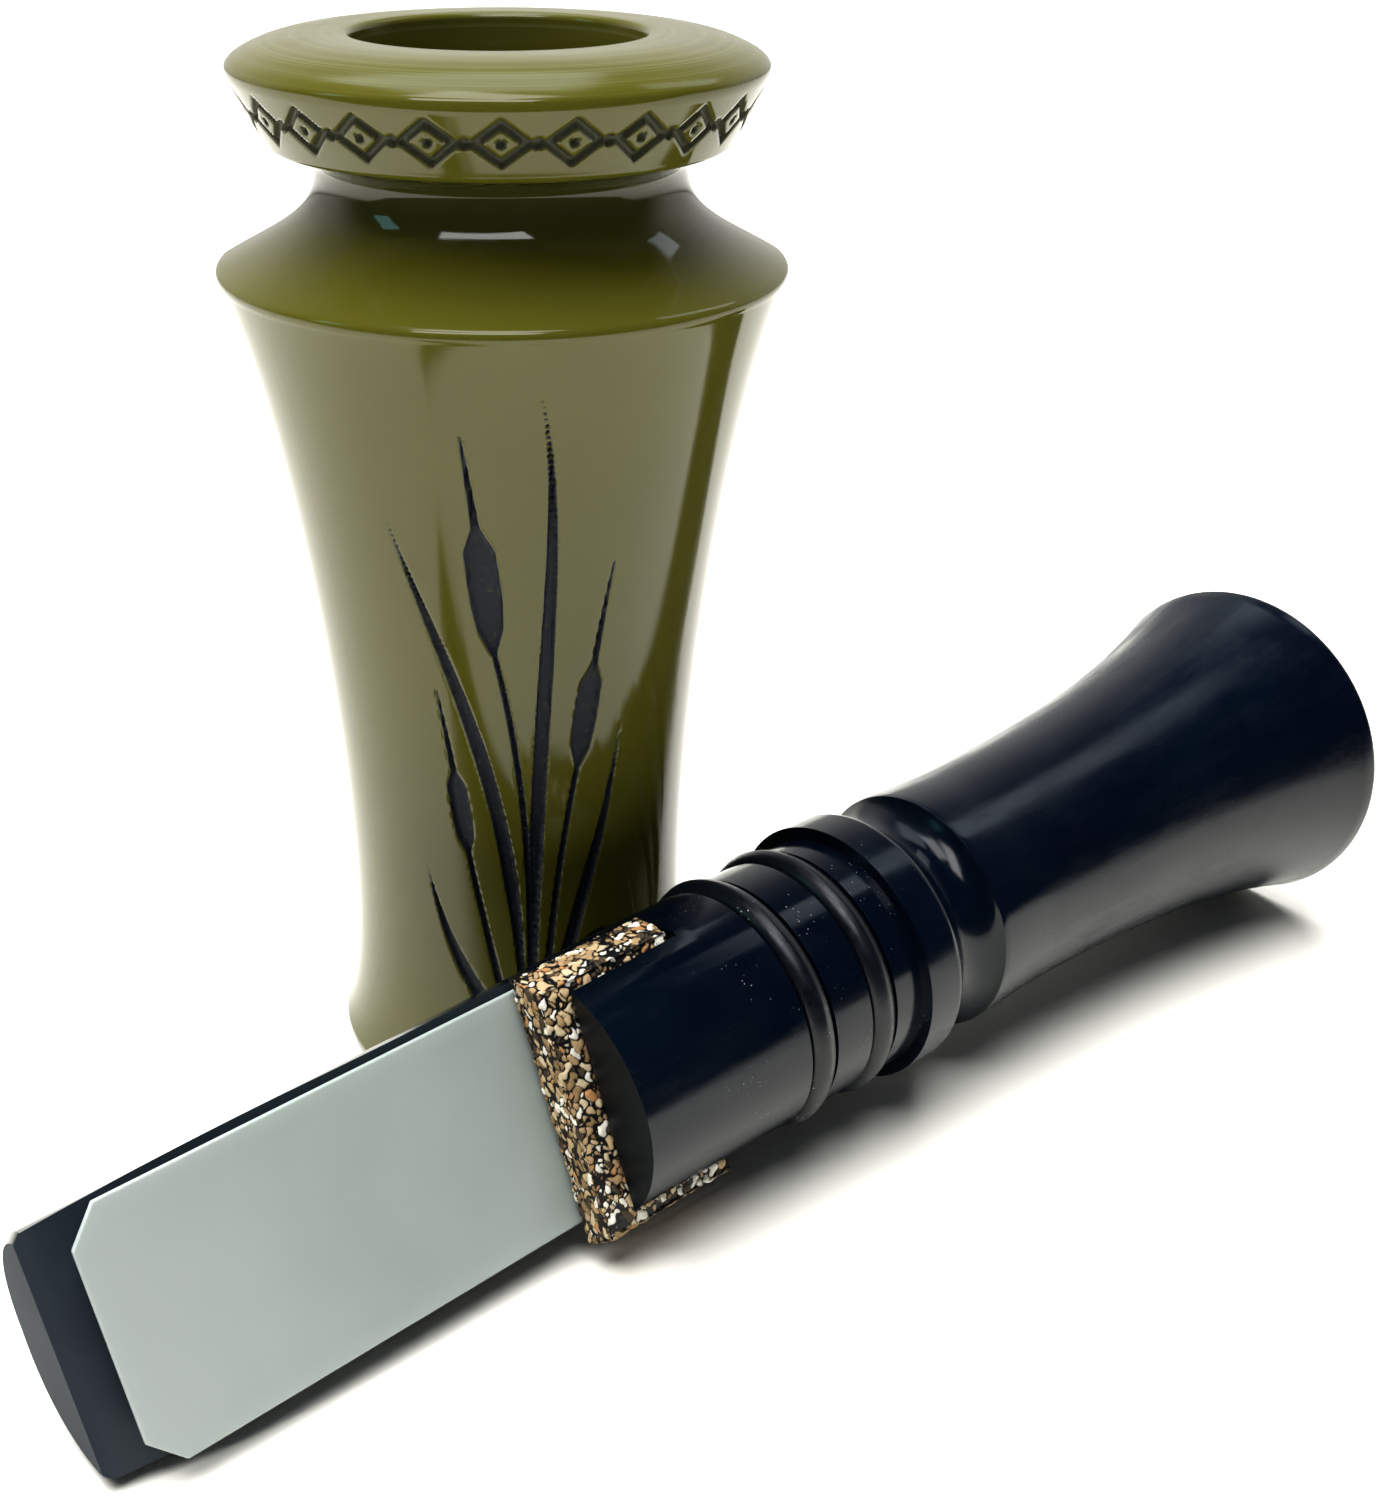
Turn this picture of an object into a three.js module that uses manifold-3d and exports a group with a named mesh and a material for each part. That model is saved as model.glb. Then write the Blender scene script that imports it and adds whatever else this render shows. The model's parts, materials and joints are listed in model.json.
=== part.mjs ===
// Single-reed duck call, taken apart: the barrel stands on its mouthpiece end and the insert lies
// in front of it, reed side up. Millimetres, +Z up. The origin is on the ground, under the middle
// of the box round the whole call.
import * as THREE from "three";
import { mergeVertices } from "three/addons/utils/BufferGeometryUtils.js";
import Module from "manifold-3d";

// Barrel, from the mouthpiece end on the ground up to the lanyard ring.
const BORE_R = 8.0;
const EDGE_BREAK = 0.35;
const FOOT_R = 12.2;
const FOOT_ROUND = 0.9;
const WAIST_R = 10.87;
const WAIST_Z = 12;
const FLARE_R = 16.1;
const FLARE_Z = 51.2;
const NECK_R = 10.46;
const NECK_Z = 56.8;
const BAND_LOW_R = 13.0;
const BAND_LOW_Z = 58.6;
const RING_R = 14.76;
const RING_Z = 62.0;
const BARREL_H = 63.8;
const BARREL_SIDES = 56;
const BARREL_STEPS = 5;

// How the barrel's outline curves: each run is how far, as (radius, height), a curve keeps its
// direction from the point that it leaves or meets.
const FOOT_RUN = new THREE.Vector2(1.0, 2.3);
const WAIST_RUN_DOWN = 5;
const WAIST_RUN_UP = 13;
const FLARE_RUN = new THREE.Vector2(2.95, 7.2);
const LIP_BULGE = new THREE.Vector2(0.35, 0.55);
const LIP_END = new THREE.Vector2(-0.15, 0.8);
const SHOULDER_RUN = new THREE.Vector2(2.45, 1.6);
const NECK_RUN_DOWN = 1.9;
const NECK_RUN_UP = 0.9;
const UNDERCUT_RUN = new THREE.Vector2(1.6, 0.2);
const BAND_CHAMFER = 0.3;
const BAND_BULGE = new THREE.Vector2(0.75, 1.4);
const RING_CHAMFER = new THREE.Vector2(0.12, 0.25);
const RING_RUN_UP = 1.0;
const TOP_RUN_OUT = 1.3;
const TOP_FLAT_R = 12.4;

// Insert, measured along its axis from the tip of the tone board to the mouth of the bell.
const TENON_R = 7.87;
const TIP_ROUND = 0.45;
const STOPPER_FRONT = 32.0;
const GROOVE_R = 6.0;
const GROOVE_HALF_W = 1.3;
const ORING_AT = [45.5, 50.6];
const COLLAR_FRONT = 53.9;
const COLLAR_R = 8.69;
const COVE_AT = 59.1;
const COVE_R = 6.85;
const BEAD_AT = 61.5;
const BEAD_R = 8.18;
const BELL_WAIST_AT = 66;
const BELL_WAIST_R = 8.0;
const BELL_R = 11.85;
const RIM_ROUND = 0.55;
const INSERT_L = 97.5;
const INSERT_SIDES = 48;
const INSERT_STEPS = 6;

// How the insert's outline curves, with runs as (radius, length along the axis).
const COLLAR_CHAMFER = new THREE.Vector2(0.25, 0.35);
const COLLAR_L = 2.4;
const COLLAR_RUN = new THREE.Vector2(0.1, 1.2);
const COVE_RUN_FRONT = 1.8;
const COVE_RUN_BACK = 1.4;
const BEAD_RUN = new THREE.Vector2(0.5, 0.2);
const BEAD_FRONT = 0.2;
const BEAD_BACK = 0.3;
const BELL_RUN_FRONT = 12;
const BELL_RUN_BACK = new THREE.Vector2(2.75, 8.45);

// Sound channel: open under the reed, then a round bore that widens through the bell.
const CHANNEL_TIP = 5.5;
const CHANNEL_FULL = 14;
const CHANNEL_R = 3.5;
const CONE_START = 60;
const MOUTH_R = 7.2;
const MOUTH_LIP = new THREE.Vector2(0.9, 0.8);
const MOUTH_LIP_BULGE = 0.2;
const CHANNEL_RAMP = 3;
const CHANNEL_SIDES = 24;
const CHANNEL_STEPS = 4;

// Tone board face, reed and cork wedge.
const FACE_AT_CORK = -0.06;
const FACE_TILT = 0.0358;
const FACE_CURVE_START = 22;
const FACE_DROP = 1.65;
const FACE_FALL_PAST_TIP = 0.4;
const FACE_CURVE_STEPS = 10;
const GAP = 0.3;
const REED_TIP = 2.0;
const REED_BACK = 39.8;
const REED_W = 14.8;
const REED_T = 0.36;
const REED_CLIP_ALONG = 1.75;
const REED_CLIP_ACROSS = 1.9;
const CORK_FRONT = 29.9;
const CORK_L = 9.8;
const CORK_T = 2.6;
const CORK_R = 8.0;
const CORK_STEPS = 6;
const SLOT_END = 40.2;
const SLOT_H = GAP + REED_T + GAP + CORK_T + GAP;

// O-rings: round section, seated in the grooves and standing proud of the tenon.
const ORING_OUTER_R = 8.35;
const ORING_SECTION_R = 1.0;
const ORING_SECTION_SIDES = 10;
const ORING_SIDES = 40;

// How the insert lies: resting on the tone board's tip and on the rim of the bell.
const LIE_TURN = 0.6313;
const LIE_ROLL = 1.178;
const LIE_TIP = new THREE.Vector2(-23.27, -41.3);
const GROUND_CLEARANCE = 0.02;

// How far a cutting solid reaches past what it cuts.
const PAST = 2;
const MERGE_WITHIN = 1e-4;

const OLIVE_ACRYLIC = { color: 0x6a6a33, roughness: 0.12 };
const BLACK_ACRYLIC = { color: 0x0e1013, roughness: 0.35 };
const BLACK_RUBBER = { color: 0x121212, roughness: 0.55 };
const FROSTED_FILM = { color: 0xa5b1aa, roughness: 0.45 };
const RUBBERISED_CORK = { color: 0xa98658, roughness: 0.9 };

const wasm = await Module();
wasm.setup();

// One closed surface: shared corners merged, and no triangle collapsed onto the axis.
function closed(geometry) {
  geometry.deleteAttribute("normal");
  geometry.deleteAttribute("uv");
  const merged = mergeVertices(geometry, MERGE_WITHIN);
  const corners = merged.index.array;
  const kept = [];
  for (let i = 0; i < corners.length; i += 3) {
    const [a, b, c] = corners.slice(i, i + 3);
    if (a !== b && b !== c && c !== a) kept.push(a, b, c);
  }
  merged.setIndex(kept);
  return merged;
}

function solid(geometry) {
  const shell = closed(geometry);
  const vertProperties = new Float32Array(shell.attributes.position.array);
  const triVerts = new Uint32Array(shell.index.array);
  return new wasm.Manifold(new wasm.Mesh({ numProp: 3, vertProperties, triVerts }));
}

function geometryOf(manifold) {
  const mesh = manifold.getMesh();
  const geometry = new THREE.BufferGeometry();
  geometry.setAttribute("position", new THREE.BufferAttribute(mesh.vertProperties, mesh.numProp));
  geometry.setIndex(new THREE.BufferAttribute(mesh.triVerts, 1));
  return geometry;
}

// A path's points (radius, height) turned about the Z axis, or about the X axis.
function turnedAboutZ(path, steps, sides) {
  return new THREE.LatheGeometry(path.getPoints(steps), sides).rotateX(Math.PI / 2);
}

function turnedAboutX(path, steps, sides) {
  return new THREE.LatheGeometry(path.getPoints(steps), sides).rotateZ(-Math.PI / 2);
}

function piece(name, geometry, finish) {
  const material = new THREE.MeshStandardMaterial({ ...finish, metalness: 0 });
  const mesh = new THREE.Mesh(geometry, material);
  mesh.name = name;
  return mesh;
}

// The barrel: a bored acrylic turning with a rounded foot, a slim waist, a sharp flare, a lanyard
// neck and a conical band under a rounded top.
function barrelOutline() {
  const outline = new THREE.Path();
  outline.moveTo(BORE_R + EDGE_BREAK, 0);
  outline.lineTo(FOOT_R - FOOT_ROUND, 0);
  outline.quadraticCurveTo(FOOT_R, 0, FOOT_R, FOOT_ROUND);
  outline.bezierCurveTo(
    FOOT_R - FOOT_RUN.x, FOOT_ROUND + FOOT_RUN.y,
    WAIST_R, WAIST_Z - WAIST_RUN_DOWN,
    WAIST_R, WAIST_Z,
  );
  outline.bezierCurveTo(
    WAIST_R, WAIST_Z + WAIST_RUN_UP,
    FLARE_R - FLARE_RUN.x, FLARE_Z - FLARE_RUN.y,
    FLARE_R, FLARE_Z,
  );
  const lipR = FLARE_R + LIP_END.x;
  const lipZ = FLARE_Z + LIP_END.y;
  outline.quadraticCurveTo(FLARE_R + LIP_BULGE.x, FLARE_Z + LIP_BULGE.y, lipR, lipZ);
  outline.bezierCurveTo(
    lipR - SHOULDER_RUN.x, lipZ + SHOULDER_RUN.y,
    NECK_R, NECK_Z - NECK_RUN_DOWN,
    NECK_R, NECK_Z,
  );
  const undercutR = BAND_LOW_R - BAND_CHAMFER;
  const undercutZ = BAND_LOW_Z - BAND_CHAMFER;
  outline.bezierCurveTo(
    NECK_R, NECK_Z + NECK_RUN_UP,
    undercutR - UNDERCUT_RUN.x, undercutZ - UNDERCUT_RUN.y,
    undercutR, undercutZ,
  );
  outline.lineTo(BAND_LOW_R, BAND_LOW_Z);
  outline.quadraticCurveTo(
    BAND_LOW_R + BAND_BULGE.x, BAND_LOW_Z + BAND_BULGE.y,
    RING_R - RING_CHAMFER.x, RING_Z - RING_CHAMFER.y,
  );
  outline.lineTo(RING_R, RING_Z);
  outline.bezierCurveTo(
    RING_R, RING_Z + RING_RUN_UP,
    TOP_FLAT_R + TOP_RUN_OUT, BARREL_H,
    TOP_FLAT_R, BARREL_H,
  );
  outline.lineTo(BORE_R + EDGE_BREAK, BARREL_H);
  outline.lineTo(BORE_R, BARREL_H - EDGE_BREAK);
  outline.lineTo(BORE_R, EDGE_BREAK);
  outline.lineTo(BORE_R + EDGE_BREAK, 0);
  return outline;
}

function barrel() {
  const turning = closed(turnedAboutZ(barrelOutline(), BARREL_STEPS, BARREL_SIDES));
  return piece("barrel", turning, OLIVE_ACRYLIC);
}

// The insert's outside: tenon with two O-ring grooves, collar, cove, bead and flared bell.
function insertOutline() {
  const outline = new THREE.Path();
  outline.moveTo(0, 0);
  outline.lineTo(TENON_R - TIP_ROUND, 0);
  outline.lineTo(TENON_R, TIP_ROUND);
  for (const at of ORING_AT) {
    outline.lineTo(TENON_R, at - GROOVE_HALF_W);
    outline.lineTo(GROOVE_R, at - GROOVE_HALF_W);
    outline.lineTo(GROOVE_R, at + GROOVE_HALF_W);
    outline.lineTo(TENON_R, at + GROOVE_HALF_W);
  }
  outline.lineTo(TENON_R, COLLAR_FRONT);
  outline.lineTo(COLLAR_R - COLLAR_CHAMFER.x, COLLAR_FRONT);
  outline.lineTo(COLLAR_R, COLLAR_FRONT + COLLAR_CHAMFER.y);
  const collarBack = COLLAR_FRONT + COLLAR_L;
  outline.lineTo(COLLAR_R, collarBack);
  outline.bezierCurveTo(
    COLLAR_R - COLLAR_RUN.x, collarBack + COLLAR_RUN.y,
    COVE_R, COVE_AT - COVE_RUN_FRONT,
    COVE_R, COVE_AT,
  );
  const beadFront = BEAD_AT - BEAD_FRONT;
  outline.bezierCurveTo(
    COVE_R, COVE_AT + COVE_RUN_BACK,
    BEAD_R - BEAD_RUN.x, beadFront - BEAD_RUN.y,
    BEAD_R, beadFront,
  );
  outline.lineTo(BEAD_R, BEAD_AT + BEAD_BACK);
  outline.lineTo(BELL_WAIST_R, BELL_WAIST_AT);
  const rimFront = INSERT_L - RIM_ROUND;
  outline.bezierCurveTo(
    BELL_WAIST_R, BELL_WAIST_AT + BELL_RUN_FRONT,
    BELL_R - BELL_RUN_BACK.x, rimFront - BELL_RUN_BACK.y,
    BELL_R, rimFront,
  );
  outline.quadraticCurveTo(BELL_R, INSERT_L, BELL_R - RIM_ROUND, INSERT_L);
  outline.lineTo(0, INSERT_L);
  return outline;
}

// What is bored out: the channel ramps up towards the tip and opens into the bell's cone.
function channelOutline() {
  const outline = new THREE.Path();
  outline.moveTo(0, CHANNEL_TIP);
  outline.quadraticCurveTo(CHANNEL_R, CHANNEL_TIP + CHANNEL_RAMP, CHANNEL_R, CHANNEL_FULL);
  outline.lineTo(CHANNEL_R, CONE_START);
  outline.lineTo(MOUTH_R, INSERT_L - MOUTH_LIP.y);
  outline.quadraticCurveTo(
    MOUTH_R + MOUTH_LIP_BULGE, INSERT_L - MOUTH_LIP_BULGE,
    MOUTH_R + MOUTH_LIP.x, INSERT_L,
  );
  outline.lineTo(MOUTH_R + MOUTH_LIP.x, INSERT_L + PAST);
  outline.lineTo(0, INSERT_L + PAST);
  return outline;
}

// Height of the flat tone board face over the insert's axis, at a place along the axis.
function faceHeight(along) {
  return FACE_AT_CORK + (CORK_FRONT - along) * Math.tan(FACE_TILT);
}

// What is cut away above the tone board: the face, falling in a curve towards the tip, the slot
// for reed and cork wedge, and the room in front of the stopper. Drawn along the axis and up.
function toneBoardCut() {
  const high = TENON_R + PAST;
  const tipHeight = faceHeight(0) - FACE_DROP;
  const curveStart = new THREE.Vector2(FACE_CURVE_START, faceHeight(FACE_CURVE_START));
  const curveMiddle = FACE_CURVE_START / 2;
  const cut = new THREE.Shape();
  cut.moveTo(SLOT_END, faceHeight(SLOT_END));
  cut.lineTo(SLOT_END, faceHeight(SLOT_END) + SLOT_H);
  cut.lineTo(STOPPER_FRONT, faceHeight(STOPPER_FRONT) + SLOT_H);
  cut.lineTo(STOPPER_FRONT, high);
  cut.lineTo(-PAST, high);
  cut.lineTo(-PAST, tipHeight - FACE_FALL_PAST_TIP);
  cut.lineTo(0, tipHeight);
  cut.quadraticCurveTo(curveMiddle, faceHeight(curveMiddle), curveStart.x, curveStart.y);
  cut.closePath();
  const width = 2 * high;
  const geometry = new THREE.ExtrudeGeometry(cut, {
    depth: width,
    bevelEnabled: false,
    curveSegments: FACE_CURVE_STEPS,
  });
  return geometry.rotateX(Math.PI / 2).translate(0, width / 2, 0);
}

function insertBody() {
  const turning = solid(turnedAboutX(insertOutline(), INSERT_STEPS, INSERT_SIDES));
  const channel = solid(turnedAboutX(channelOutline(), CHANNEL_STEPS, CHANNEL_SIDES));
  const body = turning.subtract(solid(toneBoardCut())).subtract(channel);
  return piece("insert_body", geometryOf(body), BLACK_ACRYLIC);
}

function oring(name, at) {
  const section = new THREE.Path();
  section.absarc(ORING_OUTER_R - ORING_SECTION_R, at, ORING_SECTION_R, 0, 2 * Math.PI, false);
  const ring = turnedAboutX(section, ORING_SECTION_SIDES / 2, ORING_SIDES);
  return piece(name, closed(ring), BLACK_RUBBER);
}

// The reed: a flat leaf with both front corners clipped. Its own frame has its zero at the front
// of the cork wedge, on the tone board's face, with X towards the bell and Z off the face.
function reed() {
  const tip = REED_TIP - CORK_FRONT;
  const back = REED_BACK - CORK_FRONT;
  const half = REED_W / 2;
  const leaf = new THREE.Shape();
  leaf.moveTo(back, -half);
  leaf.lineTo(back, half);
  leaf.lineTo(tip + REED_CLIP_ALONG, half);
  leaf.lineTo(tip, half - REED_CLIP_ACROSS);
  leaf.lineTo(tip, REED_CLIP_ACROSS - half);
  leaf.lineTo(tip + REED_CLIP_ALONG, -half);
  leaf.closePath();
  const geometry = new THREE.ExtrudeGeometry(leaf, { depth: REED_T, bevelEnabled: false });
  return piece("reed", closed(geometry.translate(0, 0, GAP)), FROSTED_FILM);
}

// The cork wedge: a block with its two sides trimmed round, nearly flush with the stopper.
function corkWedge() {
  const bottom = GAP + REED_T + GAP;
  const top = bottom + CORK_T;
  const low = Math.asin(bottom / CORK_R);
  const high = Math.asin(top / CORK_R);
  const section = new THREE.Shape();
  section.absarc(0, 0, CORK_R, low, high, false);
  section.absarc(0, 0, CORK_R, Math.PI - high, Math.PI - low, false);
  section.closePath();
  const block = new THREE.ExtrudeGeometry(section, {
    depth: CORK_L,
    bevelEnabled: false,
    curveSegments: CORK_STEPS,
  });
  const alongX = new THREE.Matrix4().makeBasis(
    new THREE.Vector3(0, 1, 0),
    new THREE.Vector3(0, 0, 1),
    new THREE.Vector3(1, 0, 0),
  );
  return piece("cork_wedge", closed(block.applyMatrix4(alongX)), RUBBERISED_CORK);
}

function reedFrame() {
  const frame = new THREE.Group();
  frame.add(reed(), corkWedge());
  frame.position.set(CORK_FRONT, 0, faceHeight(CORK_FRONT));
  frame.rotation.y = FACE_TILT;
  return frame;
}

// The insert, lying: X runs from its tip to its bell and Z stands off the tone board's face.
function insert() {
  const rise = Math.atan((BELL_R - TENON_R) / (INSERT_L - RIM_ROUND));
  const lying = new THREE.Group();
  lying.add(insertBody(), oring("oring_front", ORING_AT[0]), oring("oring_rear", ORING_AT[1]));
  lying.add(reedFrame());
  lying.rotation.set(LIE_ROLL, -rise, LIE_TURN, "ZYX");
  lying.position.set(LIE_TIP.x, LIE_TIP.y, TENON_R * Math.cos(rise) + GROUND_CLEARANCE);
  return lying;
}

const call = new THREE.Group();
call.name = "duck_call";
call.add(barrel(), insert());
call.updateMatrixWorld(true);
const middle = new THREE.Box3().setFromObject(call, true).getCenter(new THREE.Vector3());
call.position.set(-middle.x, -middle.y, 0);

export default call;
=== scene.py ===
import json
import math

import bmesh
import bpy
import numpy as np
from mathutils import Matrix, Vector
from mathutils.kdtree import KDTree


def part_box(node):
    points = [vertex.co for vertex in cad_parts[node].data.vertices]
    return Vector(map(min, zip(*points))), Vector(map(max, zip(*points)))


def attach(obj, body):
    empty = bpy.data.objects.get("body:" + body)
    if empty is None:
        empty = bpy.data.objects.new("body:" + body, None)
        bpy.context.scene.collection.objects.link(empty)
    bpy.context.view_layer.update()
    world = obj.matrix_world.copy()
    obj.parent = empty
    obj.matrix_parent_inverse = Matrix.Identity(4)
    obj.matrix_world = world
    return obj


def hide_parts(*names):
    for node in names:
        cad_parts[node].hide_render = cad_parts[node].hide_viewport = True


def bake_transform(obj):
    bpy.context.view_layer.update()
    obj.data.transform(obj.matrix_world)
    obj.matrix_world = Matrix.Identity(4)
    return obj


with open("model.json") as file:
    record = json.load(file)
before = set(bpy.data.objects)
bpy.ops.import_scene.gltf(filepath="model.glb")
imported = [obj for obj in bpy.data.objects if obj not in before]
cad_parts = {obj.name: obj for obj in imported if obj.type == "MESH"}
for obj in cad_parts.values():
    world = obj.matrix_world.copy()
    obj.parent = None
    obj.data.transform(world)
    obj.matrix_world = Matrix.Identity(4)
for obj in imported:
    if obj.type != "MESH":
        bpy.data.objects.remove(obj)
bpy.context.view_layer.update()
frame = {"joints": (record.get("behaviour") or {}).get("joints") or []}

MM = 0.001
TAU = 2 * math.pi
TINY = 1e-6

# ---------------------------------------------------------------- driving dimensions (mm)
BORE_R = 8.0
EDGE_BREAK = 0.35
FOOT_R = 12.2
FOOT_ROUND = 0.9
WAIST_R, WAIST_Z = 10.87, 12.0
FLARE_R, FLARE_Z = 16.1, 51.2
NECK_R, NECK_Z = 10.46, 56.8
BAND_LOW_R, BAND_LOW_Z = 13.0, 58.6
RING_R, RING_Z = 14.76, 62.0
BARREL_H = 63.8

TENON_R = 7.87
TIP_ROUND = 0.45
STOPPER_FRONT = 32.0
GROOVE_R = 6.3
GROOVE_HALF_W = 1.08
ORING_AT = (45.5, 50.6)
ORING_MIDDLE_R = 7.35
ORING_SECTION_R = 1.0
COLLAR_FRONT, COLLAR_R = 53.9, 8.69
COVE_AT, COVE_R = 59.1, 6.85
BEAD_AT, BEAD_R = 61.5, 8.18
BELL_WAIST_AT, BELL_WAIST_R = 66.0, 8.0
BELL_R = 11.82
RIM_ROUND = 0.55
INSERT_L = 97.5
CHANNEL_TIP, CHANNEL_FULL, CHANNEL_R = 5.5, 14.0, 3.5
CONE_START, MOUTH_R = 60.0, 7.2

FACE_AT_CORK = -0.06
FACE_TILT = 0.0358
FACE_CURVE_START = 22.0
FACE_DROP = 1.65
GAP = 0.3
REED_TIP, REED_BACK = 2.0, 39.8
REED_W, REED_T = 14.8, 0.36
REED_CLIP_ALONG, REED_CLIP_ACROSS = 1.75, 1.9
REED_HINGE_BACK = 4.6
CORK_FRONT, CORK_L, CORK_T = 29.9, 9.8, 2.6
SLOT_END = 40.2
CORK_BOTTOM = GAP + REED_T + GAP
SLOT_H = CORK_BOTTOM + CORK_T + GAP

# ---------------------------------------------------------------- places, from the frame
joints = {joint["name"]: joint for joint in frame["joints"]}
along = Vector(joints["insert_slide"]["axis"]).normalized()
across = Vector(joints["reed_flex"]["axis"]).normalized()
hinge = Vector(joints["reed_flex"]["pos_m"])
barrel_low, barrel_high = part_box("barrel")
barrel_middle = (barrel_low + barrel_high) / 2
barrel_foot = Vector((barrel_middle.x, barrel_middle.y, barrel_low.z))


def frame_matrix(x_axis, y_axis, origin):
    """The matrix of a right-handed frame with these two axes, at origin."""
    z_axis = x_axis.cross(y_axis).normalized()
    y_axis = z_axis.cross(x_axis)
    turn = Matrix((x_axis, y_axis, z_axis)).transposed().to_4x4()
    return Matrix.Translation(origin) @ turn


def face_height(at):
    """Height of the flat tone board face over the insert's axis, at a place along the axis."""
    return FACE_AT_CORK + (CORK_FRONT - at) * math.tan(FACE_TILT)


# The reed's frame has its zero on the tone board's face at the front of the cork wedge.
hinge_in_reed = Vector((REED_HINGE_BACK, 0, GAP + REED_T / 2))
reed_in_insert = Matrix.Translation((CORK_FRONT, 0, FACE_AT_CORK)) @ Matrix.Rotation(FACE_TILT, 4, "Y")
hinge_in_insert = reed_in_insert @ hinge_in_reed
insert_turn = frame_matrix(along, across, Vector())
insert_tip = hinge - insert_turn @ (hinge_in_insert * MM)
insert_frame = frame_matrix(along, across, insert_tip)
reed_frame = insert_frame @ Matrix.Translation(reed_in_insert.translation * MM)
reed_frame = reed_frame @ Matrix.Rotation(FACE_TILT, 4, "Y")


# ---------------------------------------------------------------- shapes
def bezier_point(controls, t):
    """The point at t, from 0 to 1, on the Bezier curve of these control points."""
    while len(controls) > 1:
        controls = controls[:-1] + (controls[1:] - controls[:-1]) * t
    return controls[0]


class Outline:
    """A profile of (radius, height) points: straight runs and Bezier curves."""

    def __init__(self, radius, height):
        self.points = [np.array((radius, height), float)]

    def line(self, radius, height, step=math.inf):
        """A straight run, cut into steps no longer than step."""
        self.curve((radius, height), step=step)

    def curve(self, *handles, step):
        """A Bezier curve from the last point through its handles; the last handle is its end."""
        controls = np.array([self.points[-1], *handles], float)
        length = np.linalg.norm(np.diff(controls, axis=0), axis=1).sum()
        count = max(1, math.ceil(length / step))
        for i in range(1, count + 1):
            self.points.append(bezier_point(controls, i / count))


def smooth_step(value, low, high):
    """0 up to low, 1 from high on, and a smooth rise between them."""
    t = np.clip((value - low) / (high - low), 0, 1)
    return t * t * (3 - 2 * t)


def bridge(first, angles, second, other_angles):
    """Faces between two rings of vertices, which may have different columns."""
    n, m = len(angles), len(other_angles)
    if n == m:
        return [(first + i, first + (i + 1) % n, second + (i + 1) % n, second + i) for i in range(n)]
    faces, i, j = [], 0, 0
    while i < n or j < m:
        next_i = (angles[i + 1] if i + 1 < n else angles[0] + TAU) if i < n else math.inf
        next_j = (other_angles[j + 1] if j + 1 < m else other_angles[0] + TAU) if j < m else math.inf
        a, b = first + i % n, second + j % m
        if next_i <= next_j:
            faces.append((a, first + (i + 1) % n, b))
            i += 1
        else:
            faces.append((a, second + (j + 1) % m, b))
            j += 1
    return faces


def make_object(name, vertices, faces):
    """A smooth-shaded mesh object from millimetre vertices, still in its piece's own frame."""
    mesh = bpy.data.meshes.new(name)
    mesh.from_pydata((np.asarray(vertices, float) * MM).tolist(), [], faces)
    mesh.validate()
    mesh.polygons.foreach_set("use_smooth", np.ones(len(mesh.polygons), bool))
    obj = bpy.data.objects.new(name, mesh)
    bpy.context.scene.collection.objects.link(obj)
    return obj


def store(obj, name, values, kind="FLOAT"):
    """Keeps one number, or one vector, for each vertex, for the materials to read."""
    attribute = obj.data.attributes.new(name, kind, "POINT")
    key = "value" if kind == "FLOAT" else "vector"
    attribute.data.foreach_set(key, np.asarray(values, np.float32).ravel())


def turn_faces_outward(mesh):
    """Makes every face of a closed mesh face outward."""
    tool = bmesh.new()
    tool.from_mesh(mesh)
    bmesh.ops.recalc_face_normals(tool, faces=tool.faces)
    tool.to_mesh(mesh)
    tool.free()


def apply_modifiers(obj):
    """Puts the result of obj's modifiers into its mesh."""
    graph = bpy.context.evaluated_depsgraph_get()
    mesh = bpy.data.meshes.new_from_object(obj.evaluated_get(graph), depsgraph=graph)
    obj.modifiers.clear()
    obj.data = mesh


def finish_piece(obj, matrix, body, node, slot, *materials):
    """Puts a piece in its place, with its materials, its body and the CAD node it replaces; slot is not used.
    """
    own = np.empty(len(obj.data.vertices) * 3, np.float32)
    obj.data.vertices.foreach_get("co", own)
    store(obj, "place", own / MM, "FLOAT_VECTOR")
    obj.data.transform(matrix)
    for i, material in enumerate(materials):
        if i < len(obj.data.materials):
            obj.data.materials[i] = material
        else:
            obj.data.materials.append(material)
    if body:
        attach(obj, body)
    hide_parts(node)


# ---------------------------------------------------------------- engraving
STROKE_DISCS = 90
FAR_OFF = 9
PLACES_AT_ONCE = 4000


class Motif:
    """Strokes of changing width, drawn on a flat strip as a crowd of discs."""

    def __init__(self):
        self.discs = []

    def stroke(self, *points, widths):
        """A Bezier stroke whose half-width runs through widths from start to end."""
        controls = np.array(points, float)
        for t in np.linspace(0, 1, STROKE_DISCS):
            width = np.interp(t, np.linspace(0, 1, len(widths)), widths)
            self.discs.append((*bezier_point(controls, t), width))

    def distance(self, places):
        """How far each place is outside the strokes; negative inside."""
        discs = np.array(self.discs, np.float32)
        result = np.full(len(places), FAR_OFF, np.float32)
        for start in range(0, len(places), PLACES_AT_ONCE):
            part = slice(start, start + PLACES_AT_ONCE)
            gaps = places[part].astype(np.float32)[:, None, :] - discs[None, :, :2]
            result[part] = (np.hypot(gaps[..., 0], gaps[..., 1]) - discs[:, 2]).min(1)
        return result


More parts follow.
